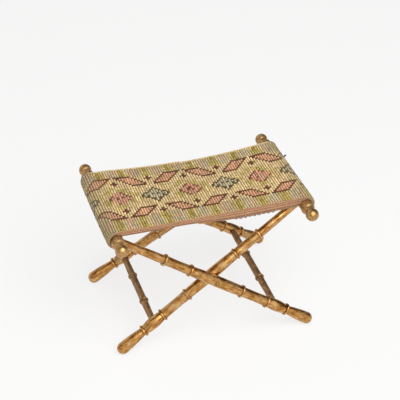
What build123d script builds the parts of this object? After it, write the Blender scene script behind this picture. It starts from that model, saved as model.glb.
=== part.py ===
from build123d import *
from math import asin, cos, degrees, radians, sin
import os

# A low folding stool. Two crossed frames of turned, gilded wood imitate bamboo, and a needlepoint
# seat hangs between their round rails. The frames turn on one rivet at the front and one at the back.
# Millimetres, +Z up. The origin is on the floor, midway between the feet. X runs from rail to rail,
# and Y runs from the front of the stool to its back.

# Stance
rail_spacing = 380.0         # across the seat, between the axes of the two rails
rail_height = 269.0          # rail axis above the floor
foot_spacing = 380.0         # across the seat, between the centres of the rounded feet
outer_leg_spacing = 218.0    # between the outer legs, where they enter their rail
leg_splay = 34.0             # each foot stands this much further out, along Y, than its leg's top

# Rails and finials
rail_d = 25.0
rail_bead_d = 27.0           # swelling just inside the finial
rail_bead_length = 9.0
neck_d = 19.5                # groove between the rail and the ball
neck_taper_length = 6.5
cove_depth = 1.0             # hollow of the taper down to the neck
ball_d = 25.4
ball_spacing = 286.0         # between the centres of a rail's two balls
ball_neck_length = 12.0      # from the ball's centre to the end of the rail
spigot_d = 9.8
spigot_length = 12.0

# Legs, by diameter from the rail down to the foot
leg_top_d = 15.8
leg_first_d = 17.6           # just above the first ring
leg_second_d = 18.4          # waist between the first and second rings
leg_shoulder_d = 19.6        # just below the second ring
leg_pivot_d = 22.8           # at the crossing
leg_third_d = 21.2           # just above the third ring
leg_fourth_d = 20.0          # waist between the third and fourth rings
barrel_end_d = 19.2          # ends of the swelling that holds the stretcher
barrel_d = 24.4
foot_neck_d = 16.4
foot_flank_d = 22.4          # halfway down the foot
foot_d = 24.4
leg_end_from_axis = 3.5      # the leg stops this short of the rail's axis
foot_flat_depth = 0.8        # worn flat under each foot

# Rings, like the nodes of bamboo
ring_rise = 2.7              # how far a ring stands out of the leg
ring_width = 5.4
node_flare = 0.5             # the leg widens this much, in radius, beside a ring
ring_1_from_rail = 108.0
ring_2_from_rail = 168.5
ring_3_from_foot = 166.5     # to the centre of the rounded foot
ring_4_from_foot = 103.5
ring_5_from_foot = 54.5

# Stretchers
stretcher_from_foot = 79.5   # along the leg, to the centre of the rounded foot
stretcher_d = 14.8
stretcher_end_d = 12.5
stretcher_waist_d = 14.4     # middle of each stretch between rings
stretcher_ring_rise = 2.2
stretcher_ring_width = 5.0
stretcher_ring_spacing = 85.0
stretcher_end_from_axis = 2.0

# Pivots
rivet_d = 5.0
rivet_head_d = 6.6
rivet_head_height = 2.0
rove_d = 9.0                 # small washer under each rivet head
rove_thickness = 1.2
washer_d = 14.0              # washer between the two legs
leg_clearance = 1.0          # between the crossing legs
spot_face_depth = 0.7        # flat cut in the leg under a washer or rove
spot_face_margin = 0.5

# Seat
needlepoint_thickness = 4.4
backing_thickness = 1.2
seat_front = 109.0           # front edge of the seat, from the middle of the rails
seat_back = 106.0
seat_sag = 9.5
front_draw_in = 10.0         # the front edge curves in this far at mid-span
back_draw_in = 5.0
binding_thickness = 1.0      # tape over the free edges of the cloth
binding_lip = 2.5            # how far the tape lies over the top of the cloth
binding_drop = 6.0           # how far it hangs below the cloth
binding_fold = 3.0           # thickness of the part that hangs, where it is doubled
wrap_end_angle = 272.0       # where the cloth ends under the outer rail, anticlockwise from +X
tack_angle = 258.0
tack_head_d = 7.0
tack_head_height = 1.6
tack_shank_d = 1.6
tack_depth = 4.0             # into the wood
tack_pitch = 22.0
tack_margin = 12.0           # from the edge of the cloth to the first tack

# Clearances
glue_gap = 0.05              # round a tenon, spigot or nail in its hole
socket_end_gap = 0.3
running_gap = 0.08           # radial, of a rivet in the inner leg
side_gap = 0.15              # beside a washer or rove that turns against a leg
cloth_gap = 0.1              # between a rail and the cloth round it
cloth_break = 0.3            # between the span of cloth and the cloth on the inner rail

# Derived sizes
rail_r = rail_d / 2
foot_r = foot_d / 2
rail_x = rail_spacing / 2
foot_x = foot_spacing / 2
foot_z = foot_r - foot_flat_depth
outer_top_y = outer_leg_spacing / 2
inner_top_y = outer_top_y - leg_pivot_d - leg_clearance
leg_run = Vector(rail_x + foot_x, leg_splay, foot_z - rail_height)
leg_length = leg_run.length
pivot_share = rail_x / (rail_x + foot_x)
pivot_z = rail_height + pivot_share * (foot_z - rail_height)
cloth_thickness = needlepoint_thickness + backing_thickness
wrap_in_r = rail_r + cloth_gap
wrap_out_r = wrap_in_r + cloth_thickness
seat_arc_r = (rail_x**2 + seat_sag**2) / (2 * seat_sag) - wrap_out_r
seat_arc_z = rail_height + wrap_out_r - seat_sag + seat_arc_r
seat_lean = degrees(asin(rail_x / (seat_arc_r + wrap_out_r)))


def turned(edges):
    """Solid of revolution about Z from the edges of its outline, which are in the XZ plane."""
    return revolve(make_face(edges), axis=Axis.Z)


def along_y(x, y, z, forward=1):
    """Plane whose Z runs along +Y, or along -Y where forward is -1."""
    return Plane(origin=(x, y, z), x_dir=(1, 0, 0), z_dir=(0, forward, 0))


def domed_pin(head_d, head_height, shank_d, shank_length):
    """Nail or rivet with a domed head above Z = 0 and its shank below."""
    head_r = head_d / 2
    shank_r = shank_d / 2
    return turned([
        TangentArc((0, 0, head_height), (head_r, 0, 0), tangent=(1, 0, 0)),
        Line((head_r, 0, 0), (shank_r, 0, 0)),
        Line((shank_r, 0, 0), (shank_r, 0, -shank_length)),
        Line((shank_r, 0, -shank_length), (0, 0, -shank_length)),
        Line((0, 0, -shank_length), (0, 0, head_height)),
    ])


def bow(start_d, start, middle_d, end_d, end, middle=None):
    """Parabolic flank of a turned piece, which has its middle diameter midway unless a place is given."""
    if middle is None:
        middle = (start + end) / 2
    bend_r = middle_d - (start_d + end_d) / 4
    bend_at = 2 * middle - (start + end) / 2
    return Bezier((start_d / 2, 0, start), (bend_r, 0, bend_at), (end_d / 2, 0, end))


def ring(at, before_d, after_d, width, rise):
    """Half-round ring between two flanks."""
    crest = max(before_d, after_d) / 2 + rise
    start = (before_d / 2, 0, at - width / 2)
    end = (after_d / 2, 0, at + width / 2)
    return ThreePointArc(start, (crest, 0, at), end)


def plain_leg():
    """Leg without its holes. Z runs along it, from the rail's axis to the centre of the foot."""
    half = ring_width / 2
    flare = 2 * node_flare
    rings = [
        ring_1_from_rail,
        ring_2_from_rail,
        leg_length - ring_3_from_foot,
        leg_length - ring_4_from_foot,
        leg_length - ring_5_from_foot,
    ]
    second_end_d = leg_second_d + flare
    fourth_end_d = leg_fourth_d + flare
    pivot_at = leg_length * pivot_share
    foot_tip = leg_length + foot_r
    foot_start = rings[4] + half
    return turned([
        Line((0, 0, leg_end_from_axis), (leg_top_d / 2, 0, leg_end_from_axis)),
        Line((leg_top_d / 2, 0, leg_end_from_axis), (leg_top_d / 2, 0, rail_d)),
        Line((leg_top_d / 2, 0, rail_d), (leg_first_d / 2, 0, rings[0] - half)),
        ring(rings[0], leg_first_d, second_end_d, ring_width, ring_rise),
        bow(second_end_d, rings[0] + half, leg_second_d, second_end_d, rings[1] - half),
        ring(rings[1], second_end_d, leg_shoulder_d, ring_width, ring_rise),
        bow(leg_shoulder_d, rings[1] + half, leg_pivot_d, leg_third_d, rings[2] - half, pivot_at),
        ring(rings[2], leg_third_d, fourth_end_d, ring_width, ring_rise),
        bow(fourth_end_d, rings[2] + half, leg_fourth_d, fourth_end_d, rings[3] - half),
        ring(rings[3], fourth_end_d, barrel_end_d, ring_width, ring_rise),
        bow(barrel_end_d, rings[3] + half, barrel_d, barrel_end_d, rings[4] - half),
        ring(rings[4], barrel_end_d, foot_neck_d, ring_width, ring_rise),
        bow(foot_neck_d, foot_start, foot_flank_d, foot_d, leg_length),
        TangentArc((foot_r, 0, leg_length), (0, 0, foot_tip), tangent=(0, 0, 1)),
        Line((0, 0, foot_tip), (0, 0, leg_end_from_axis)),
    ])


class Leg:
    """Where one leg stands: side is the side of its rail, end is -1 at the front, 1 at the back."""

    def __init__(self, side, end, top_y):
        self.side = side
        self.end = end
        self.top = Vector(side * rail_x, end * top_y, rail_height)
        self.run = Vector(-side * leg_run.X, end * leg_run.Y, leg_run.Z)
        self.plane = Plane(origin=self.top, x_dir=(0, 1, 0), z_dir=self.run)

    def at(self, distance):
        return self.top + self.run.normalized() * distance

    def pivot_y(self):
        return self.at(leg_length * pivot_share).Y

    def spot_y(self, outward):
        """Y of the flat under a washer, on the leg's outward or inward side."""
        return self.pivot_y() + outward * self.end * (leg_pivot_d / 2 - spot_face_depth)


outer_front = Leg(-1, -1, outer_top_y)
outer_back = Leg(-1, 1, outer_top_y)
inner_front = Leg(1, -1, inner_top_y)
inner_back = Leg(1, 1, inner_top_y)


def leg_solid(leg, hole_gap, out_face_d, in_face_d):
    """Leg with its rivet hole, flats, stretcher socket and worn foot."""
    solid = leg.plane * plain_leg()
    hole_r = rivet_d / 2 + hole_gap
    solid -= along_y(0, leg.pivot_y(), pivot_z) * Cylinder(hole_r, 4 * leg_pivot_d)
    for outward, face_d in ((1, out_face_d), (-1, in_face_d)):
        cutter_r = face_d / 2 + spot_face_margin
        flat = along_y(0, leg.spot_y(outward), pivot_z, outward * leg.end)
        cutter = Cylinder(cutter_r, leg_pivot_d, align=(Align.CENTER, Align.CENTER, Align.MIN))
        solid -= flat * cutter
    joint = leg.at(leg_length - stretcher_from_foot)
    socket_y = joint.Y - leg.end * (stretcher_end_from_axis - socket_end_gap)
    socket = along_y(joint.X, socket_y, joint.Z, -leg.end)
    socket_r = stretcher_end_d / 2 + glue_gap
    solid -= socket * Cylinder(socket_r, barrel_d, align=(Align.CENTER, Align.CENTER, Align.MIN))
    floor = Pos(leg.at(leg_length).X, leg.at(leg_length).Y, -foot_r) * Box(4 * foot_d, 4 * foot_d, foot_d)
    return solid - floor


def rail_half():
    """Half a rail. Z runs along it, from the middle to the end that takes the finial."""
    end = ball_spacing / 2 - ball_neck_length
    taper = end - neck_taper_length
    bead = taper - rail_bead_length
    cove_d = (rail_d + neck_d) / 2 - cove_depth
    return turned([
        Line((0, 0, 0), (rail_r, 0, 0)),
        Line((rail_r, 0, 0), (rail_r, 0, bead)),
        bow(rail_d, bead, rail_bead_d, rail_d, taper),
        bow(rail_d, taper, cove_d, neck_d, end),
        Line((neck_d / 2, 0, end), (0, 0, end)),
        Line((0, 0, end), (0, 0, 0)),
    ])


def tack_rows():
    """Places of the tacks along a rail."""
    length = seat_front + seat_back - 2 * tack_margin
    count = int(length // tack_pitch) + 1
    step = length / (count - 1)
    return [tack_margin - seat_front + step * i for i in range(count)]


def tack_plane(side, y, radius):
    """Plane at a tack, with Z pointing out of the rail's underside."""
    angle = radians(tack_angle)
    out = Vector(-side * cos(angle), 0, sin(angle))
    centre = Vector(side * rail_x, y, rail_height)
    return Plane(origin=centre + out * radius, x_dir=(0, 1, 0), z_dir=out)


def rail_solid(side, legs):
    """Rail with sockets for its legs and finials, and the holes of its tacks."""
    axis = (side * rail_x, 0, rail_height)
    solid = along_y(*axis) * rail_half() + along_y(*axis, -1) * rail_half()
    for leg in legs:
        start = leg_end_from_axis - socket_end_gap
        socket = Plane(origin=leg.at(start), x_dir=(0, 1, 0), z_dir=leg.run)
        socket_r = leg_top_d / 2 + glue_gap
        solid -= socket * Cylinder(socket_r, 2 * rail_d, align=(Align.CENTER, Align.CENTER, Align.MIN))
    for end in (-1, 1):
        mouth = along_y(axis[0], end * (ball_spacing / 2 - ball_neck_length), axis[2], -end)
        depth = spigot_length + socket_end_gap
        bore_r = spigot_d / 2 + glue_gap
        solid -= mouth * Cylinder(bore_r, depth, align=(Align.CENTER, Align.CENTER, Align.MIN))
    for y in tack_rows():
        hole = tack_plane(side, y, rail_r - tack_depth - socket_end_gap)
        hole_r = tack_shank_d / 2 + glue_gap
        solid -= hole * Cylinder(hole_r, rail_d, align=(Align.CENTER, Align.CENTER, Align.MIN))
    return solid


def finial_solid(side, end):
    """Ball, neck and spigot in one turned piece. Its Z runs outward from the end of the rail."""
    plane = along_y(side * rail_x, end * (ball_spacing / 2 - ball_neck_length), rail_height, end)
    low = (Align.CENTER, Align.CENTER, Align.MIN)
    high = (Align.CENTER, Align.CENTER, Align.MAX)
    neck = Cylinder(neck_d / 2, ball_neck_length, align=low)
    spigot = Cylinder(spigot_d / 2, spigot_length, align=high)
    return plane * (Pos(0, 0, ball_neck_length) * Sphere(ball_d / 2) + neck + spigot)


def stretcher_solid(front, back):
    """Round bar between the two legs of a frame, with a ring a third of the way from each end."""
    start = front.at(leg_length - stretcher_from_foot)
    length = back.at(leg_length - stretcher_from_foot).Y - start.Y - 2 * stretcher_end_from_axis
    half = stretcher_ring_width / 2
    rings = [(length - stretcher_ring_spacing) / 2, (length + stretcher_ring_spacing) / 2]
    entry = barrel_d / 2
    bar = turned([
        Line((0, 0, 0), (stretcher_end_d / 2, 0, 0)),
        Line((stretcher_end_d / 2, 0, 0), (stretcher_end_d / 2, 0, entry)),
        Line((stretcher_end_d / 2, 0, entry), (stretcher_d / 2, 0, rings[0] - half)),
        ring(rings[0], stretcher_d, stretcher_d, stretcher_ring_width, stretcher_ring_rise),
        bow(stretcher_d, rings[0] + half, stretcher_waist_d, stretcher_d, rings[1] - half),
        ring(rings[1], stretcher_d, stretcher_d, stretcher_ring_width, stretcher_ring_rise),
        Line((stretcher_d / 2, 0, rings[1] + half), (stretcher_end_d / 2, 0, length - entry)),
        Line((stretcher_end_d / 2, 0, length - entry), (stretcher_end_d / 2, 0, length)),
        Line((stretcher_end_d / 2, 0, length), (0, 0, length)),
        Line((0, 0, length), (0, 0, 0)),
    ])
    return along_y(start.X, start.Y + stretcher_end_from_axis, start.Z) * bar


def rove_at(y, end):
    """Small washer on the rivet, from y outward."""
    disc = Cylinder(rove_d / 2, rove_thickness, align=(Align.CENTER, Align.CENTER, Align.MIN))
    bore = Cylinder(rivet_d / 2 + glue_gap, 4 * rove_thickness)
    return along_y(0, y, pivot_z, end) * (disc - bore)


def pivot_solids(outer, inner):
    """Rivet, its two roves and the washer between the legs, at one end of the stool."""
    end = outer.end
    outside = outer.spot_y(1) + end * rove_thickness
    inside = inner.spot_y(-1) - end * (side_gap + rove_thickness)
    grip = abs(outside - inside)
    rivet = domed_pin(rivet_head_d, rivet_head_height, rivet_d, grip)
    clench = Rot(180, 0, 0) * domed_pin(rivet_head_d, rivet_head_height, rivet_d, grip / 2)
    rivet = along_y(0, outside, pivot_z, end) * (rivet + Pos(0, 0, -grip) * clench)
    roves = [
        rove_at(outer.spot_y(1), end),
        rove_at(inner.spot_y(-1) - end * side_gap, -end),
    ]
    washer_start = inner.spot_y(1) + end * side_gap
    thickness = abs(outer.spot_y(-1) - washer_start)
    disc = Cylinder(washer_d / 2, thickness, align=(Align.CENTER, Align.CENTER, Align.MIN))
    bore = Cylinder(rivet_d / 2 + glue_gap, 4 * thickness)
    washer = along_y(0, washer_start, pivot_z, end) * (disc - bore)
    return rivet, roves, washer


def seat_sheet(inner_r, outer_r):
    """Hanging layer of the seat between two radii of its sag, over the full depth of the seat."""
    half_break = degrees(cloth_break / seat_arc_r)
    start = 270 - seat_lean
    sweep = 2 * seat_lean - half_break
    plane = Plane(origin=(0, seat_back, seat_arc_z), x_dir=(1, 0, 0), z_dir=(0, -1, 0))
    top = CenterArc((0, 0), inner_r, start, sweep)
    bottom = CenterArc((0, 0), outer_r, start, sweep)
    face = make_face([top, bottom, Line(top @ 0, bottom @ 0), Line(top @ 1, bottom @ 1)])
    return extrude(plane * face, amount=seat_front + seat_back)


def seat_plan(inset):
    """Column over the plan of the seat, whose free edges are drawn in at mid-span."""
    front = inset - seat_front
    back = seat_back - inset
    left = -rail_x
    right = rail_x
    face = make_face([
        ThreePointArc((left, front), (0, front + front_draw_in), (right, front)),
        Line((right, front), (right, back)),
        ThreePointArc((right, back), (0, back - back_draw_in), (left, back)),
        Line((left, back), (left, front)),
    ])
    return extrude(face, amount=2 * rail_height)


def binding_solid(end, cloth):
    """Tape over one free edge of the seat, with a doubled part that hangs below it."""
    under_r = seat_arc_r + cloth_thickness
    over = seat_sheet(seat_arc_r - binding_thickness, under_r) & (seat_plan(0) - seat_plan(binding_lip))
    hanging = seat_sheet(under_r, under_r + binding_drop) & (seat_plan(0) - seat_plan(binding_fold))
    depth = seat_front + seat_back
    half = Pos(0, end * depth / 2, rail_height) * Box(2 * rail_spacing, depth, 2 * rail_height)
    strip = (over + hanging) & half
    for layer in cloth:
        strip -= layer
    for side in (-1, 1):
        strip -= along_y(side * rail_x, 0, rail_height) * Cylinder(rail_r + cloth_break, 2 * depth)
    return strip


def wrap_solid(side):
    """Cloth that goes over the rail, round its outer side and under it."""
    start = 90 - seat_lean
    sweep = wrap_end_angle - start
    depth = seat_front + seat_back - 2 * binding_thickness
    inner = CenterArc((0, 0), wrap_in_r, start, sweep)
    outer = CenterArc((0, 0), wrap_out_r, start, sweep)
    face = make_face([inner, outer, Line(inner @ 0, outer @ 0), Line(inner @ 1, outer @ 1)])
    plane = Plane(
        origin=(-rail_x, seat_back - binding_thickness, rail_height),
        x_dir=(1, 0, 0),
        z_dir=(0, -1, 0),
    )
    solid = extrude(plane * face, amount=depth)
    for y in tack_rows():
        hole_r = tack_shank_d / 2 + glue_gap
        solid -= tack_plane(-1, y, rail_r) * Cylinder(hole_r, rail_d)
    if side > 0:
        solid = mirror(solid, about=Plane.YZ)
    return solid


def tack_solids(side):
    """Tacks that nail the cloth to the underside of a rail."""
    head_seat = wrap_out_r + tack_head_d**2 / (8 * wrap_out_r)
    shank = head_seat - rail_r + tack_depth
    tack = domed_pin(tack_head_d, tack_head_height, tack_shank_d, shank)
    return [tack_plane(side, y, head_seat) * tack for y in tack_rows()]


def group(solids):
    """Separate solids of one node."""
    return Compound(children=[solid for part in solids for solid in part.solids()])


front_rivet, front_roves, front_washer = pivot_solids(outer_front, inner_front)
back_rivet, back_roves, back_washer = pivot_solids(outer_back, inner_back)
cloth_plan = seat_plan(binding_thickness)
needlepoint = seat_sheet(seat_arc_r, seat_arc_r + needlepoint_thickness) & cloth_plan
backing = seat_sheet(seat_arc_r + needlepoint_thickness, seat_arc_r + cloth_thickness) & cloth_plan

nodes = {
    "outer_rail": rail_solid(-1, (outer_front, outer_back)),
    "outer_finial_front": finial_solid(-1, -1),
    "outer_finial_back": finial_solid(-1, 1),
    "outer_leg_front": leg_solid(outer_front, glue_gap, rove_d, washer_d),
    "outer_leg_back": leg_solid(outer_back, glue_gap, rove_d, washer_d),
    "outer_stretcher": stretcher_solid(outer_front, outer_back),
    "inner_rail": rail_solid(1, (inner_front, inner_back)),
    "inner_finial_front": finial_solid(1, -1),
    "inner_finial_back": finial_solid(1, 1),
    "inner_leg_front": leg_solid(inner_front, running_gap, washer_d, rove_d),
    "inner_leg_back": leg_solid(inner_back, running_gap, washer_d, rove_d),
    "inner_stretcher": stretcher_solid(inner_front, inner_back),
    "pivot_rivet_front": front_rivet,
    "pivot_rivet_back": back_rivet,
    "rivet_roves": group(front_roves + back_roves),
    "leg_washer_front": front_washer,
    "leg_washer_back": back_washer,
    "needlepoint_seat": needlepoint,
    "seat_backing": backing,
    "front_binding": binding_solid(-1, (needlepoint, backing)),
    "back_binding": binding_solid(1, (needlepoint, backing)),
    "outer_seat_wrap": wrap_solid(-1),
    "inner_seat_wrap": wrap_solid(1),
    "outer_tacks": group(tack_solids(-1)),
    "inner_tacks": group(tack_solids(1)),
}

os.makedirs("parts", exist_ok=True)
for name, shape in nodes.items():
    export_step(shape, f"parts/{name}.step")

print(f"leg {leg_length:.1f} mm to the foot's centre, pivot at z {pivot_z:.2f} mm")
print(f"seat lean {seat_lean:.2f} degrees, top of the rails {rail_height + wrap_out_r:.1f} mm")
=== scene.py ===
"""Looks of a low folding stool: gilded wood turned like bamboo, and a needlepoint seat."""

import math

import bpy
import numpy as np
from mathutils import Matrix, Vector


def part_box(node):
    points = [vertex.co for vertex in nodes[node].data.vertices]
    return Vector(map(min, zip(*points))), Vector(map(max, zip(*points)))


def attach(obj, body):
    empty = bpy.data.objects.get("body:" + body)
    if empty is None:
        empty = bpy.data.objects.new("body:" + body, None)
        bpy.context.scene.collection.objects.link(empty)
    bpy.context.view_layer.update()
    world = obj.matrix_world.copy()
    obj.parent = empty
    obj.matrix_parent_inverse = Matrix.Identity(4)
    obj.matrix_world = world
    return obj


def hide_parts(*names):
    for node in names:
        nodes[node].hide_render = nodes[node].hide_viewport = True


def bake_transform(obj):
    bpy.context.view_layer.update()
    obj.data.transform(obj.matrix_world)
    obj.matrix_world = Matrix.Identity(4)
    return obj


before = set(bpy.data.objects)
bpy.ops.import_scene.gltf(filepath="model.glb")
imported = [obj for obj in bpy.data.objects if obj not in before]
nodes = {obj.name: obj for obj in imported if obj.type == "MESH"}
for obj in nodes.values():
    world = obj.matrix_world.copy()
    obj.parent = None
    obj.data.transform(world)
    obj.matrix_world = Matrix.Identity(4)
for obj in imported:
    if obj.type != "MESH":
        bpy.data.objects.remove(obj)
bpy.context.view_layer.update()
mm = 0.001


# Places taken from the frame

def middle(node, axis):
    """Middle of a node's box along one axis."""
    low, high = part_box(node)
    return (low[axis] + high[axis]) / 2


rail_x = middle("inner_rail", 0)
rail_z = middle("inner_rail", 2)
wrap_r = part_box("inner_seat_wrap")[1].z - rail_z
seat_front = -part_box("front_binding")[0].y
seat_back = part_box("back_binding")[1].y

# Cloth, as it hangs between the rails
sag = 9.5 * mm
front_draw_in = 10 * mm
back_draw_in = 5 * mm
stitch = 5.1 * mm
stitch_relief = 2.0 * mm
needlepoint_depth = 4.3 * mm
backing_top = 4.45 * mm
backing_depth = 1.0 * mm
wrap_depth = 5.45 * mm
lip = 2.2 * mm
wrap_turn = math.radians(182)
flower_s = -9.5 * mm

# Rows of stitches, measured in rows: slant, drift at the middle flower, and its change with each column
stitch_slant = 0.3
flower_drift = 0.3
row_drift = 0.017

# Stretch of the back edge that has pulled out
pulled_from = -178 * mm
pulled_to = -3 * mm
pulled_ramp = 25 * mm
pulled_out = 3 * mm

# Where the cloth goes over the rails it is worn, and stands a little off them
rail_wear = 0.4
wear_start = 14 * mm
wear_ramp = 22 * mm
off_rail_ramp = 15 * mm

arc_r = (rail_x**2 + sag**2) / (2 * sag) - wrap_r
arc_z = rail_z + wrap_r - sag + arc_r
lean = math.asin(rail_x / (arc_r + wrap_r))
half_span = arc_r * lean
cloth_end = half_span + wrap_r * (wrap_turn + lean)


# Materials

def linear(hex_colour):
    """Linear RGBA of an sRGB hex colour."""
    parts = [int(hex_colour[i:i + 2], 16) / 255 for i in (1, 3, 5)]
    return tuple(c / 12.92 if c <= 0.04045 else ((c + 0.055) / 1.055) ** 2.4 for c in parts) + (1.0,)


def add(tree, kind, inputs=None, stops=None, **settings):
    """Adds a node with its settings, its input values or links, and the stops of a colour ramp."""
    node = tree.nodes.new(kind)
    for key, value in settings.items():
        setattr(node, key, value)
    for key, value in (inputs or {}).items():
        if isinstance(value, bpy.types.NodeSocket):
            tree.links.new(value, node.inputs[key])
        else:
            node.inputs[key].default_value = value
    if stops:
        ramp = node.color_ramp.elements
        while len(ramp) < len(stops):
            ramp.new(1.0)
        for element, (place, colour) in zip(ramp, stops):
            element.position = place
            element.color = colour
    return node


def new_material(name, **sockets):
    """Material with one Principled shader, whose even values are set on its own sockets."""
    material = bpy.data.materials.new(name)
    material.use_nodes = True
    tree = material.node_tree
    shader = next(n for n in tree.nodes if n.type == "BSDF_PRINCIPLED")
    for key, value in sockets.items():
        shader.inputs[key.replace("_", " ")].default_value = value
    return material, tree, shader


def grey(value):
    """Ramp colour of one grey level."""
    return (value, value, value, 1.0)


def gilded_wood(name, turn, light, middle_tone, dark, metal, least_rough):
    """Gold leaf on turned wood over a red-brown ground, burnished, then rubbed and darkened by age.

    It gives soft bright highlights, rubbed marks along the grain, clouds of tone, brown patches where it is
    worn through, and darkening in the corners and wherever parts close in, partly the dark build-up beside
    the rings and partly painted shade. turn lays the grain along the piece.
    """
    material, tree, shader = new_material(name)
    place = add(tree, "ShaderNodeTexCoord").outputs["Object"]
    along = add(tree, "ShaderNodeMapping", {"Vector": place, "Rotation": turn}).outputs[0]
    # Rubbed marks are 14 mm long and 4 mm wide, worn patches 5 mm long and 2.4 mm wide.
    rubbed = (1 / (14 * mm), 1 / (4 * mm), 1 / (4 * mm))
    patches = (1 / (5 * mm), 1 / (2.4 * mm), 1 / (2.4 * mm))
    cloud = 20 * mm
    ground = linear("#5E3816")
    grime_and_shade_colour = linear("#3A2410")
    drawn = add(tree, "ShaderNodeMapping", {"Vector": along, "Scale": rubbed}).outputs[0]
    streaks = add(tree, "ShaderNodeTexNoise", {"Vector": drawn, "Scale": 1.0, "Detail": 3.0}).outputs[0]
    clouds = add(tree, "ShaderNodeTexNoise", {"Vector": place, "Scale": 1 / cloud, "Detail": 2.0}).outputs[0]
    worn_place = add(tree, "ShaderNodeMapping", {"Vector": along, "Scale": patches}).outputs[0]
    specks = add(tree, "ShaderNodeTexNoise", {"Vector": worn_place, "Scale": 1.0, "Detail": 4.0}).outputs[0]
    tone = add(tree, "ShaderNodeMath", {0: streaks, 1: clouds}, operation="ADD").outputs[0]
    tone = add(tree, "ShaderNodeMath", {0: tone, 1: 0.5}, operation="MULTIPLY").outputs[0]
    gold = add(tree, "ShaderNodeValToRGB", {"Fac": tone}, [
        (0.34, linear(dark)), (0.5, linear(middle_tone)), (0.66, linear(light)),
    ]).outputs[0]
    worn = add(tree, "ShaderNodeMath", {0: specks, 1: clouds}, operation="ADD").outputs[0]
    worn = add(tree, "ShaderNodeMath", {0: worn, 1: 0.5}, operation="MULTIPLY").outputs[0]
    worn = add(tree, "ShaderNodeValToRGB", {"Fac": worn}, [(0.49, grey(0)), (0.58, grey(1))]).outputs[0]
    # Painted shade: the gold darkens towards a near-black brown wherever parts or rings close in, which also
    # stands for the build-up beside the rings.
    ambient_shade = add(tree, "ShaderNodeAmbientOcclusion", {"Distance": 5 * mm}, samples=8).outputs["AO"]
    dirt_and_shade = add(tree, "ShaderNodeValToRGB", {"Fac": ambient_shade}, [(0.45, grey(1)), (0.85, grey(0))]).outputs[0]
    bare = add(tree, "ShaderNodeMath", {0: worn, 1: 0.5}, operation="MULTIPLY").outputs[0]
    colour = add(tree, "ShaderNodeMixRGB", {"Fac": bare, "Color1": gold, "Color2": ground}).outputs[0]
    colour = add(tree, "ShaderNodeMixRGB", {"Fac": dirt_and_shade, "Color1": colour, "Color2": grime_and_shade_colour}).outputs[0]
    tree.links.new(colour, shader.inputs["Base Color"])
    # Bare ground is less of a metal and rougher than the leaf.
    metallic = add(tree, "ShaderNodeMath", {0: bare, 1: -0.5, 2: metal}, operation="MULTIPLY_ADD")
    tree.links.new(metallic.outputs[0], shader.inputs["Metallic"])
    rough = add(tree, "ShaderNodeMath", {0: tone, 1: 0.2, 2: least_rough}, operation="MULTIPLY_ADD")
    rough = add(tree, "ShaderNodeMath", {0: bare, 1: 0.35, 2: rough.outputs[0]}, operation="MULTIPLY_ADD")
    tree.links.new(rough.outputs[0], shader.inputs["Roughness"])
    uneven = add(tree, "ShaderNodeMath", {0: specks, 1: streaks}, operation="ADD").outputs[0]
    bump = add(tree, "ShaderNodeBump", {"Height": uneven, "Strength": 0.3, "Distance": 0.5 * mm}).outputs[0]
    tree.links.new(bump, shader.inputs["Normal"])
    return material


def aged_brass():
    """Turned and riveted brass, gone brown, bright only where it rubs."""
    material, tree, shader = new_material("aged_brass", Metallic=1.0)
    place = add(tree, "ShaderNodeTexCoord").outputs["Object"]
    # Tarnish blooms are about 2 mm across.
    width = 2 * mm
    bloom = add(tree, "ShaderNodeTexNoise", {"Vector": place, "Scale": 1 / width, "Detail": 3.0}).outputs[0]
    colour = add(tree, "ShaderNodeValToRGB", {"Fac": bloom}, [
        (0.3, linear("#5E4524")), (0.65, linear("#C79B52")),
    ]).outputs[0]
    tree.links.new(colour, shader.inputs["Base Color"])
    rough = add(tree, "ShaderNodeMath", {0: bloom, 1: 0.3, 2: 0.2}, operation="MULTIPLY_ADD").outputs[0]
    tree.links.new(rough, shader.inputs["Roughness"])
    return material


def blued_steel():
    """Cut tacks with blued domed heads, dark, with rust starting."""
    material, tree, shader = new_material("blued_steel", Metallic=1.0)
    place = add(tree, "ShaderNodeTexCoord").outputs["Object"]
    # Rust freckles are about 1.5 mm across.
    width = 1.5 * mm
    rust = add(tree, "ShaderNodeTexNoise", {"Vector": place, "Scale": 1 / width, "Detail": 4.0}).outputs[0]
    colour = add(tree, "ShaderNodeValToRGB", {"Fac": rust}, [
        (0.45, linear("#3C3D42")), (0.7, linear("#6A4A33")),
    ]).outputs[0]
    tree.links.new(colour, shader.inputs["Base Color"])
    rough = add(tree, "ShaderNodeMath", {0: rust, 1: 0.4, 2: 0.2}, operation="MULTIPLY_ADD").outputs[0]
    tree.links.new(rough, shader.inputs["Roughness"])
    return material


def dyed_yarn(name, fibre, sheen):
    """Dyed yarn, coloured in the mesh stitch by stitch. Its fibres make it matt, hairy and flecked."""
    material, tree, shader = new_material(name, Roughness=0.95, Specular_IOR_Level=0.15, Sheen_Weight=sheen)
    place = add(tree, "ShaderNodeTexCoord").outputs["Object"]
    dye = add(tree, "ShaderNodeAttribute", attribute_name="yarn").outputs["Color"]
    # Fibres are finer than the picture can show, so they are drawn as coarse as the spacing given.
    hairs = add(tree, "ShaderNodeTexNoise", {"Vector": place, "Scale": 1 / fibre, "Detail": 3.0}).outputs[0]
    fleck = add(tree, "ShaderNodeValToRGB", {"Fac": hairs}, [(0.3, grey(0.72)), (0.7, grey(1.0))]).outputs[0]
    flecked = {"Fac": 1.0, "Color1": dye, "Color2": fleck}
    colour = add(tree, "ShaderNodeMixRGB", flecked, blend_type="MULTIPLY").outputs[0]
    tree.links.new(colour, shader.inputs["Base Color"])
    bump = add(tree, "ShaderNodeBump", {"Height": hairs, "Strength": 0.5, "Distance": 0.3 * mm}).outputs[0]
    tree.links.new(bump, shader.inputs["Normal"])
    return material


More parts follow.
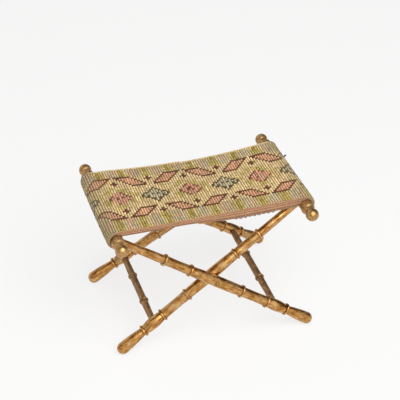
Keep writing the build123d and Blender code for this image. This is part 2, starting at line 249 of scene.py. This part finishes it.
def plain_linen():
    """Unbleached linen in a plain weave, slubby, and browned along its threads."""
    material, tree, shader = new_material("plain_linen", Roughness=0.9, Specular_IOR_Level=0.2)
    place = add(tree, "ShaderNodeTexCoord").outputs["Object"]
    # Threads are 0.7 mm apart, drawn 1.2 mm apart so that they show. Slubs lie about 22 mm apart.
    thread_gap = 1.2 * mm
    slub_gap = 22 * mm
    # A wave texture whose scale is 1 has this many waves to the metre.
    waves = 20 / (2 * math.pi)
    thread_lines = {"Vector": place, "Scale": 1 / (waves * thread_gap), "Distortion": 0.6}
    across = add(tree, "ShaderNodeTexWave", thread_lines, bands_direction="X").outputs[1]
    along = add(tree, "ShaderNodeTexWave", thread_lines, bands_direction="Y").outputs[1]
    weave = add(tree, "ShaderNodeMath", {0: across, 1: along}, operation="MULTIPLY").outputs[0]
    slubs = {"Vector": place, "Scale": 1 / slub_gap, "Detail": 4.0}
    slub = add(tree, "ShaderNodeTexNoise", slubs).outputs[0]
    mixed = add(tree, "ShaderNodeMath", {0: weave, 1: slub}, operation="ADD").outputs[0]
    colour = add(tree, "ShaderNodeValToRGB", {"Fac": mixed}, [
        (0.35, linear("#A48B62")), (0.95, linear("#DECBA2")),
    ]).outputs[0]
    tree.links.new(colour, shader.inputs["Base Color"])
    bump = add(tree, "ShaderNodeBump", {"Height": weave, "Strength": 0.6, "Distance": 0.3 * mm}).outputs[0]
    tree.links.new(bump, shader.inputs["Normal"])
    return material


# Gilding of legs, rails and stretchers: light, middle and dark tone, how metallic, and least roughness
leg_gilt = ("#EFC88E", "#C6904F", "#7C4A25", 1.0, 0.08)
rail_gilt = ("#DAB682", "#BC9058", "#80603A", 0.85, 0.17)
stretcher_gilt = ("#BE9A6C", "#9A754A", "#664A2E", 0.75, 0.26)
leg_tilt = math.atan2(rail_z, 2 * rail_x)
outer_gilding = gilded_wood("gilded_wood_outer_legs", (0.0, -leg_tilt, 0.0), *leg_gilt)
inner_gilding = gilded_wood("gilded_wood_inner_legs", (0.0, leg_tilt, 0.0), *leg_gilt)
rail_gilding = gilded_wood("gilded_wood_rails", (0.0, 0.0, math.pi / 2), *rail_gilt)
rubbed_gilding = gilded_wood("gilded_wood_rubbed", (0.0, 0.0, math.pi / 2), *stretcher_gilt)
wool = dyed_yarn("wool_needlepoint", 0.9 * mm, 0.2)
tape = dyed_yarn("cotton_tape", 0.7 * mm, 0.05)
linen = plain_linen()
brass = aged_brass()
steel = blued_steel()

finishes = {
    "outer_leg": outer_gilding,
    "inner_leg": inner_gilding,
    "outer_stretcher": rubbed_gilding,
    "inner_stretcher": rubbed_gilding,
    "outer_rail": rail_gilding,
    "inner_rail": rail_gilding,
    "outer_finial": rail_gilding,
    "inner_finial": rail_gilding,
    "pivot": brass,
    "rivet": brass,
    "leg_washer": brass,
    "outer_tacks": steel,
    "inner_tacks": steel,
}
for node_name, node in nodes.items():
    for start, finish in finishes.items():
        if node_name.startswith(start):
            node.data.materials.clear()
            node.data.materials.append(finish)


# Seat pattern, one colour to a stitch, with its places counted in stitches

dye_colours = {
    "cream": "#E9C991",
    "straw": "#D7BB7B",
    "lime": "#C4AC60",
    "olive": "#AB913F",
    "sage": "#C2B68D",
    "fawn": "#D8AB85",
    "pink": "#DDA37A",
    "rose": "#DD9B79",
    "mauve": "#C79C80",
    "madder": "#7A4326",
    "brown": "#673610",
    "slate": "#5A4A28",
    "mist": "#C4B48C",
}
dyes = {name: np.array(linear(value)[:3]) for name, value in dye_colours.items()}
canvas = np.array(linear("#6E4C20")[:3])
dust = np.array(linear("#9A8A66")[:3])
motif = 28
stripe_pitch = motif / 3
rows_to_front = 20
rows_to_back = 18
cross_by_flower = 9
cross_by_diamond = 11
row_total = rows_to_front + rows_to_back + 1


def in_leaf(beside, row):
    """Whether a stitch is in one of the slanting leaves, which are a row taller at the back."""
    height = abs(row)
    lowest = 7 if row > 0 else 8
    return lowest <= height <= 13 and 14 <= beside + height <= 20 and beside <= 12


def stitch_dye(column, row, chance):
    """Dye of a stitch, counted from the middle flower. chance, from 0 to 1, mixes in other yarns."""
    beside = abs((column + motif // 2) % motif - motif // 2)
    from_diamond = motif // 2 - beside
    height = abs(row)
    # Leaves with an outline, and small crosses
    if in_leaf(beside, row):
        around = ((beside - 1, row), (beside + 1, row), (beside, row - 1), (beside, row + 1))
        return "pink" if all(in_leaf(*place) for place in around) else "brown"
    if beside + abs(height - cross_by_flower) <= 1 or from_diamond + abs(height - cross_by_diamond) <= 1:
        return "brown"
    rise = abs(row + 0.5)
    # Diamonds, which are wider than high
    in_diamond = 0.8 * from_diamond + rise
    if in_diamond <= 4.7:
        if in_diamond > 3.8:
            return "slate"
        return "slate" if (from_diamond + 2 * row) % 6 == 1 else "mist" if chance < 0.85 else "sage"
    # Flowers, and the green about them
    in_flower = beside + rise
    if in_flower <= 4.5 and rise < 4:
        if in_flower > 3.5 and beside:
            return "madder" if chance < 0.65 else "rose"
        return "madder" if in_flower < 2 and chance < 0.45 else "mauve" if chance > 0.8 else "rose"
    if in_flower <= 9.5 and rise < 7 and (column // 2 * 5 + row // 3 * 3) % 7 < 4:
        return "lime" if chance < 0.65 else "straw"
    # Striped border
    if height >= 14 or (height == 13 and beside + height > 21):
        off = abs(column % stripe_pitch - stripe_pitch / 2) + 1.6 * (chance - 0.5)
        return ("olive", "lime", "straw", "sage", "fawn", "sage")[int(np.clip(round(off * 1.07), 0, 5))]
    return "straw" if chance > 0.86 else "cream"


# Cloth that follows the rails and the sag between them

def cloth_points(s, y, lift):
    """Points of the cloth: s runs over it from the left end to the right one, and lift is off its face."""
    s, y, lift = np.broadcast_arrays(s, y, lift)
    hang = s / arc_r
    side = np.sign(s)
    turn = (abs(s) - half_span) / wrap_r - lean
    on_span = abs(s) <= half_span
    x = np.where(on_span, (arc_r - lift) * np.sin(hang), side * (rail_x + (wrap_r + lift) * np.sin(turn)))
    z = np.where(on_span, arc_z - (arc_r - lift) * np.cos(hang), rail_z + (wrap_r + lift) * np.cos(turn))
    return np.stack([x, y, z], -1)


def edge_y(s, end):
    """Y of the free edge at the front, where end is -1, or at the back, part of which has pulled out."""
    bow = 1 - np.minimum(1.0, abs(s) / half_span) ** 2
    if end < 0:
        return front_draw_in * bow - seat_front
    pulled = np.clip((s - pulled_from) / pulled_ramp, 0, 1) * (s < pulled_to)
    return seat_back - back_draw_in * bow + pulled_out * pulled


def plump(s, y):
    """How far the cloth stands off its rails: most at the left one's middle and the right one's front."""
    rising = np.clip((abs(s) - half_span) / off_rail_ramp, 0, 1)
    falling = np.clip((cloth_end - abs(s)) / off_rail_ramp, 0, 1)
    share = y / seat_front
    off_rail = np.where(s < 0, 2.4 - 1.2 * share**2, 1.2 - 0.9 * share) * mm
    return off_rail * (rising * falling)


def yarn_piece(name, points, faces, colours, places, finish):
    """Mesh of yarn, with a colour for each face and a place on the unwrapped sheet for each corner."""
    mesh = bpy.data.meshes.new(name)
    mesh.from_pydata(points.tolist(), [], [list(face) for face in faces])
    sizes = [len(face) for face in faces]
    shades = np.ones((len(faces), 4), np.float32)
    shades[:, :3] = colours
    yarn = mesh.color_attributes.new("yarn", "FLOAT_COLOR", "CORNER")
    yarn.data.foreach_set("color", np.repeat(shades, sizes, axis=0).ravel())
    if places is not None:
        layer = mesh.uv_layers.new(name="OFBake")
        layer.data.foreach_set("uv", places.astype(np.float32).ravel())
    mesh.polygons.foreach_set("use_smooth", np.ones(len(faces), bool))
    mesh.update()
    mesh.materials.append(finish)
    piece = bpy.data.objects.new(name, mesh)
    bpy.context.scene.collection.objects.link(piece)
    return piece


# Unwrapped sheet: its top takes the lower half, its underside the upper half, its rim a strip between
page_half = 0.49
rim_low = 0.493
rim_high = 0.507


def cloth_sheet(name, top, under, dye, finish):
    """Closed sheet between two grids of points, with a dye for each face of its top."""
    rows, columns = top.shape[:2]
    count = rows * columns
    index = np.arange(count).reshape(rows, columns)
    a, b, c, d = index[:-1, :-1], index[1:, :-1], index[1:, 1:], index[:-1, 1:]
    face_top = np.stack([a, b, c, d], -1).reshape(-1, 4)
    face_under = np.stack([d, c, b, a], -1).reshape(-1, 4) + count
    rim = np.concatenate([index[:, 0], index[-1, 1:], index[-2::-1, -1], index[0, -2:0:-1]])
    after = np.roll(rim, -1)
    face_rim = np.stack([after, rim, rim + count, after + count], -1)
    across = (np.arange(count) // columns) / (rows - 1)
    along = (np.arange(count) % columns) / (columns - 1)
    flat = np.stack([across, along * page_half], -1)
    ring = np.arange(len(rim) + 1) / len(rim)
    low = np.full(len(rim), rim_low)
    high = np.full(len(rim), rim_high)
    strip_corners = ((ring[1:], low), (ring[:-1], low), (ring[:-1], high), (ring[1:], high))
    strip = np.stack([np.stack(ambient_shade, -1) for ambient_shade in strip_corners], 1)
    places = np.concatenate([flat[face_top], flat[face_under - count] + (0, 1 - page_half), strip])
    faces = np.concatenate([face_top, face_under, face_rim])
    colours = np.broadcast_to(dye.reshape(-1, 3).mean(0), (len(faces), 3)).copy()
    colours[:len(face_top)] = dye.reshape(-1, 3)
    points = np.concatenate([top.reshape(-1, 3), under.reshape(-1, 3)])
    return yarn_piece(name, points, faces, colours, places, finish)


# Points of the mesh across and along one stitch, as shares of it
across_steps = (0.0, 0.12, 0.25, 0.5, 0.75, 0.88)
along_steps = (0.0, 0.35, 0.65)

# Spread of height and tone from stitch to stitch, and of tone from column to column
loft_spread = 0.08
tone_spread = 0.12
column_spread = 0.07


def needlepoint(name, first, last, depth):
    """Stretch of needlepoint from one column of stitches to another, every stitch raised and dyed."""
    rng = np.random.default_rng(abs(first) * 131 + last)
    columns = last - first + 1
    part_s = np.array([i + a for i in range(columns) for a in across_steps] + [columns])
    across = np.array([a for i in range(columns) for a in across_steps] + [0.0])[:, None]
    part_v = np.array([j + b for j in range(row_total) for b in along_steps] + [row_total])
    along = np.array([b for j in range(row_total) for b in along_steps] + [0.0])[None]
    s = (flower_s + (first + part_s - 0.5) * stitch)[:, None]
    front = edge_y(s, -1) + lip
    back = edge_y(s, 1) - lip
    drift = flower_drift + row_drift * (first + part_s)[:, None]
    drift = drift * (1 - (2 * part_v[None] / row_total - 1) ** 4)
    row_v = np.clip(part_v[None] + stitch_slant * (across - 0.5) - drift, 0, row_total)
    y = front + (back - front) * row_v / row_total
    stitch_i = np.minimum(part_s.astype(int), columns - 1)
    stitch_j = np.minimum(part_v.astype(int), row_total - 1)
    loft = rng.normal(1.0, loft_spread, (columns, row_total))[stitch_i[:, None], stitch_j[None]]
    relief = np.sqrt(1 - (2 * across - 1) ** 2) * (1 - 0.3 * (2 * along - 1) ** 4) * loft
    top = cloth_points(s, y, (relief - 1) * stitch_relief + plump(s, y))
    under = cloth_points(s, y, -depth)
    tone = rng.normal(1.0, tone_spread, (columns, row_total)) * rng.normal(1.0, column_spread, (columns, 1))
    chance = rng.random((columns, row_total))
    yarn = np.array([
        [dyes[stitch_dye(first + i, j - rows_to_front, chance[i, j])] for j in range(row_total)]
        for i in range(columns)
    ]) * tone[..., None]
    middle_s = (s[1:] + s[:-1]) / 2
    worn = rail_wear * np.clip((abs(middle_s) - half_span + wear_start) / wear_ramp, 0, 1)[..., None]
    yarn = yarn[stitch_i[:-1, None], stitch_j[None, :-1]] * (1 - worn) + dust * worn
    # Between the columns the canvas shows, in shade.
    groove = yarn * 0.3 + canvas * 0.25
    from_groove = 0.5 - abs((part_s[1:] + part_s[:-1]) / 2 % 1 - 0.5)
    share = np.clip((from_groove - 0.08) / 0.2, 0, 1)[:, None, None]
    dye = groove * (1 - share) + yarn * share
    return cloth_sheet(name, top, under, dye.clip(0, 1), wool)


left_break = round((-half_span - flower_s) / stitch + 0.5)
right_break = round((half_span - flower_s) / stitch - 0.5)
wrap_columns = int(wrap_r * (wrap_turn + lean) / stitch)
span = needlepoint("needlepoint_span", left_break, right_break, needlepoint_depth)
left_wrap = needlepoint("needlepoint_left_wrap", left_break - wrap_columns, left_break - 1, wrap_depth)
right_wrap = needlepoint("needlepoint_right_wrap", right_break + 1, right_break + wrap_columns, wrap_depth)

# Linen under the needlepoint
linen_columns = 120
linen_rows = 24
linen_s = np.linspace(-half_span, half_span, linen_columns + 1)[:, None]
linen_share = np.linspace(0, 1, linen_rows + 1)[None]
linen_front = edge_y(linen_s, -1) + lip
linen_y = linen_front + (edge_y(linen_s, 1) - lip - linen_front) * linen_share
backing = cloth_sheet(
    "linen_backing",
    cloth_points(linen_s, linen_y, -backing_top),
    cloth_points(linen_s, linen_y, -backing_top - backing_depth),
    np.broadcast_to(linear("#C9B184")[:3], (linen_columns, linen_rows, 3)),
    linen,
)

# Tape over the free edges: outline of its section, in millimetres in from the edge and above the cloth.
# Between the rails it hangs below the cloth in three cords, with a line of stitches above each.
tape_top = [(2.2, -4.2), (2.2, 0.3), (1.6, 0.8), (0.7, 0.7), (0.1, 0.1)]
tape_face = [
    (0.2, -0.9), (0.6, -1.4), (0.1, -2.4), (-0.3, -4.2),
    (0.1, -6.2), (0.6, -7.0), (0.1, -7.8), (-0.3, -10.0),
    (0.1, -12.2), (0.6, -13.0), (0.1, -13.8), (-0.1, -15.8),
    (0.3, -17.6), (1.0, -18.3), (2.0, -18.2), (2.6, -17.4),
]
tape_inside = [(2.6, -5.7), (2.2, -5.6)]
rail_tape = [(0.0, -0.9), (0.0, -4.6), (0.5, -5.4), (2.2, -5.4)]
stitch_lines = (6, 10, 14)

# Its drop is least at the left and changes about the middle
least_drop = 0.56
drop_change = 60 * mm


def tape_drop(s):
    """How far down the tape hangs, as a share of its full drop, which it has only at the right."""
    step = np.clip((s + drop_change) / (2 * drop_change), 0, 1)
    return least_drop + (1 - least_drop) * step * step * (3 - 2 * step)


def tape_edge(name, first_s, last_s, end, dark, light):
    """Tape along one free edge, which hangs where it is between the rails."""
    hangs = last_s - first_s > half_span
    section = np.array(tape_top + (tape_face + tape_inside if hangs else rail_tape)) * mm
    rng = np.random.default_rng(int(10000 + first_s * 1e4))
    steps = max(8, int((last_s - first_s) / (stitch / 3)))
    s = np.linspace(first_s, last_s, steps + 1)
    lift = np.broadcast_to(section[None, :, 1], (steps + 1, len(section))).copy()
    if hangs:
        face = slice(len(tape_top), len(tape_top) + len(tape_face))
        root = tape_face[0][1] * mm
        lift[:, face] = root + (lift[:, face] - root) * tape_drop(s)[:, None]
    points = cloth_points(s[:, None], edge_y(s, end)[:, None] - end * section[None, :, 0], lift)
    sides = len(section)
    i, k = np.meshgrid(np.arange(steps), np.arange(sides), indexing="ij")
    after = (k + 1) % sides
    quads = np.stack([i * sides + k, (i + 1) * sides + k, (i + 1) * sides + after, i * sides + after], -1)
    first_cap = tuple(range(sides))
    last_cap = tuple(range(steps * sides, (steps + 1) * sides))
    if end < 0:
        quads = quads[..., ::-1]
        first_cap = first_cap[::-1]
    else:
        last_cap = last_cap[::-1]
    faces = [tuple(face) for face in quads.reshape(-1, 4)] + [first_cap, last_cap]
    # Share of the dark dye, which is larger at the lines of stitches, and below the last of them, where it
    # is painted shade on the tape's lower edge and inside
    share = rng.normal(0.12, 0.1, (steps, sides))
    if hangs:
        for place in stitch_lines:
            share[:, place - 1:place + 1] += 0.6
        # Painted shade: the hanging tape is darker from its last line of stitches down over its lower edge
        # and inside.
        share[:, stitch_lines[-1]:] += 0.35
    weave = rng.normal(1.0, 0.09, (steps, sides)) * (1 + 0.1 * np.sin(np.arange(steps) * 2.1))[:, None]
    share = np.clip(share, 0, 1)[..., None]
    light_dye = np.array(linear(light)[:3])
    dark_dye_and_shade = np.array(linear(dark)[:3])
    colours = (light_dye * (1 - share) + dark_dye_and_shade * share) * weave[..., None]
    colours = np.concatenate([colours.reshape(-1, 3), [dark_dye_and_shade, dark_dye_and_shade]]).clip(0, 1)
    return yarn_piece(name, points.reshape(-1, 3), faces, colours, None, tape)


# Dark and light tones of the tapes; on the hanging tapes the dark one is also painted shade below the last
# line of stitches
front_tape = ("#75513D", "#B98D6B")
back_tape = ("#8C7350", "#D8C293")
rail_edge = ("#6E5A42", "#A48A68")
hems = {}
for end, place, tones in ((-1, "front", front_tape), (1, "back", back_tape)):
    hems[place] = tape_edge(f"{place}_tape_span", -half_span, half_span, end, *tones)
    hems[place + "_left"] = tape_edge(f"{place}_edge_left", -cloth_end, -half_span, end, *rail_edge)
    hems[place + "_right"] = tape_edge(f"{place}_edge_right", half_span, cloth_end, end, *rail_edge)


def loose_yarn(name, strands, colour, finish):
    """Loose ends of yarn, each a thin tube along its own points, narrower at both ends."""
    sides = 6
    points = []
    faces = []
    for path, radius in strands:
        first = len(points)
        run = Vector(path[-1]) - Vector(path[0])
        across = run.orthogonal().normalized()
        up = run.cross(across).normalized()
        for i, centre in enumerate(path):
            here = radius * (0.45 + 0.55 * math.sin(math.pi * i / (len(path) - 1)))
            for k in range(sides):
                angle = 2 * math.pi * k / sides
                points.append(Vector(centre) + here * (math.cos(angle) * across + math.sin(angle) * up))
        for i in range(len(path) - 1):
            for k in range(sides):
                low = first + i * sides + k
                after = first + i * sides + (k + 1) % sides
                faces.append((low, after, after + sides, low + sides))
        last = first + (len(path) - 1) * sides
        faces.append(tuple(range(first + sides - 1, first - 1, -1)))
        faces.append(tuple(range(last, last + sides)))
    shades = np.broadcast_to(linear(colour)[:3], (len(faces), 3))
    return yarn_piece(name, np.array([tuple(p) for p in points]), faces, shades, None, finish)


# Loops of sewing thread under the front tape, mostly to the right, as millimetres along it and down from it
loop_places = [(-112, 3.0), (-105, 2.0)]
loop_places += [(50 + 9.2 * i, 2.4 if i % 3 else 1.4) for i in range(9)]
loop_half = 4.4
loop_inset = 1.2 * mm
loop_in_tape = 0.6
thread_r = 0.9 * mm
loop_turn = np.linspace(-1, 1, 7)
loops = []
for loop_s, hang in loop_places:
    s = (loop_s + loop_half * loop_turn) * mm
    tape_low = tape_face[0][1] + (tape_face[-2][1] - tape_face[0][1]) * tape_drop(s)
    lift = (tape_low + loop_in_tape - hang * (1 - loop_turn**2)) * mm
    loops.append((cloth_points(s, edge_y(s, -1) + loop_inset, lift), thread_r))
threads = loose_yarn("sewing_threads", loops, "#77706A", tape)

# Tuft pulled out of the right wrap, whose strands spread as they rise
tuft_turn = 0.75
tuft_y = 44
tuft_height = 6 * mm
tuft_r = 0.8 * mm
rise = np.linspace(0, 1, 5)
tuft_strands = []
for i in range(5):
    s = half_span + wrap_r * (tuft_turn + 0.05 * i) + rise * (i - 2) * 1.2 * mm
    y = (tuft_y + i * 0.8 + rise * (i - 1.5) * 1.5) * mm
    tuft_strands.append((cloth_points(s, y, plump(s, y) + rise * tuft_height), tuft_r))
tuft = loose_yarn("yarn_tuft", tuft_strands, "#5A4A38", wool)

# What the soft pieces stand for, and how they are held and move
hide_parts("needlepoint_seat")
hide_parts("seat_backing")
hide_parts("front_binding")
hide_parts("back_binding")
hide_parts("outer_seat_wrap")
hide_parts("inner_seat_wrap")
for piece in (left_wrap, hems["front_left"], hems["back_left"]):
    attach(piece, "outer_frame")
for piece in (right_wrap, hems["front_right"], hems["back_right"], tuft):
    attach(piece, "inner_frame")
for piece in (span, backing, hems["front"], hems["back"], threads):
    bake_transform(piece)


# Floor, light and camera

def white_paper():
    """Matt white paper sweep, white to the eye and in the gilding, with a pale shadow under the stool."""
    material, tree, shader = new_material("white_paper", Roughness=1.0, Base_Color=linear("#F4F3F1"))
    own_white = 0.8
    path = add(tree, "ShaderNodeLightPath").outputs
    seen = path["Is Camera Ray"]
    for ray in ("Is Glossy Ray", "Is Transmission Ray"):
        seen = add(tree, "ShaderNodeMath", {0: seen, 1: path[ray]}, operation="MAXIMUM").outputs[0]
    share = add(tree, "ShaderNodeMath", {0: seen, 1: own_white}, operation="MULTIPLY").outputs[0]
    white = add(tree, "ShaderNodeEmission", {"Color": linear("#FFFFFF"), "Strength": 0.95}).outputs[0]
    both = add(tree, "ShaderNodeMixShader", {"Fac": share, 1: shader.outputs[0], 2: white}).outputs[0]
    output = next(n for n in tree.nodes if n.type == "OUTPUT_MATERIAL")
    tree.links.new(both, output.inputs["Surface"])
    return material


floor_reach = 8.0
floor_corners = [(floor_reach * x, floor_reach * y, 0) for x, y in ((-1, -1), (1, -1), (1, 1), (-1, 1))]
floor_mesh = bpy.data.meshes.new("floor")
floor_mesh.from_pydata(floor_corners, [], [(0, 1, 2, 3)])
floor = bpy.data.objects.new("floor", floor_mesh)
bpy.context.scene.collection.objects.link(floor)
floor.data.materials.append(white_paper())


stool_middle = Vector((0, 0, 0.15))


def softbox(name, place, size, power):
    """Square lamp that faces the middle of the stool."""
    lamp = bpy.data.lights.new(name, "AREA")
    lamp.size = size
    lamp.energy = power
    box = bpy.data.objects.new(name, lamp)
    box.location = place
    box.rotation_euler = (stool_middle - Vector(place)).to_track_quat("-Z", "Y").to_euler()
    bpy.context.scene.collection.objects.link(box)


softbox("key_softbox", (0.3, -1.5, 2.3), 2.4, 55)
softbox("fill_softbox", (-2.4, -0.8, 1.6), 2.0, 6)

scene = bpy.context.scene
# A white screen hangs before and over the stool, a lit sweep stands behind it, and the room is dim.
# Both have a direction, the cosines of the angles at the edge and where it is full, and a strength.
room_level = 0.1
screens = (
    ((0.15, -0.72, 0.68), 0.4, 0.9, 1.08),
    ((-0.5, 0.84, 0.2), 0.5, 0.95, 0.8),
)
world = bpy.data.worlds.new("studio")
world.use_nodes = True
room = world.node_tree
look = add(room, "ShaderNodeTexCoord").outputs["Generated"]
level = room_level
for towards, edge, full, strength in screens:
    facing = add(room, "ShaderNodeVectorMath", {0: look, 1: towards}, operation="DOT_PRODUCT")
    screen = add(room, "ShaderNodeMapRange", {
        "Value": facing.outputs["Value"],
        "From Min": edge,
        "From Max": full,
        "To Min": 0.0,
        "To Max": strength,
    }).outputs[0]
    level = add(room, "ShaderNodeMath", {0: screen, 1: level}, operation="ADD").outputs[0]
room.links.new(level, room.nodes["Background"].inputs["Strength"])
room.nodes["Background"].inputs["Color"].default_value = linear("#FFFFFF")
scene.world = world
scene.view_settings.view_transform = "Standard"

# Camera, fitted to the photograph
azimuth = math.radians(-17.857)
elevation = math.radians(34.828)
lens_mm = 115.48
camera_place = (-0.63416, -1.99477, 1.70588)
towards_camera = Vector((
    math.sin(azimuth) * math.cos(elevation),
    -math.cos(azimuth) * math.cos(elevation),
    math.sin(elevation),
))
camera = bpy.data.objects.new("camera", bpy.data.cameras.new("camera"))
camera.data.lens = lens_mm
camera.location = camera_place
camera.rotation_euler = (-towards_camera).to_track_quat("-Z", "Y").to_euler()
scene.collection.objects.link(camera)
scene.camera = camera
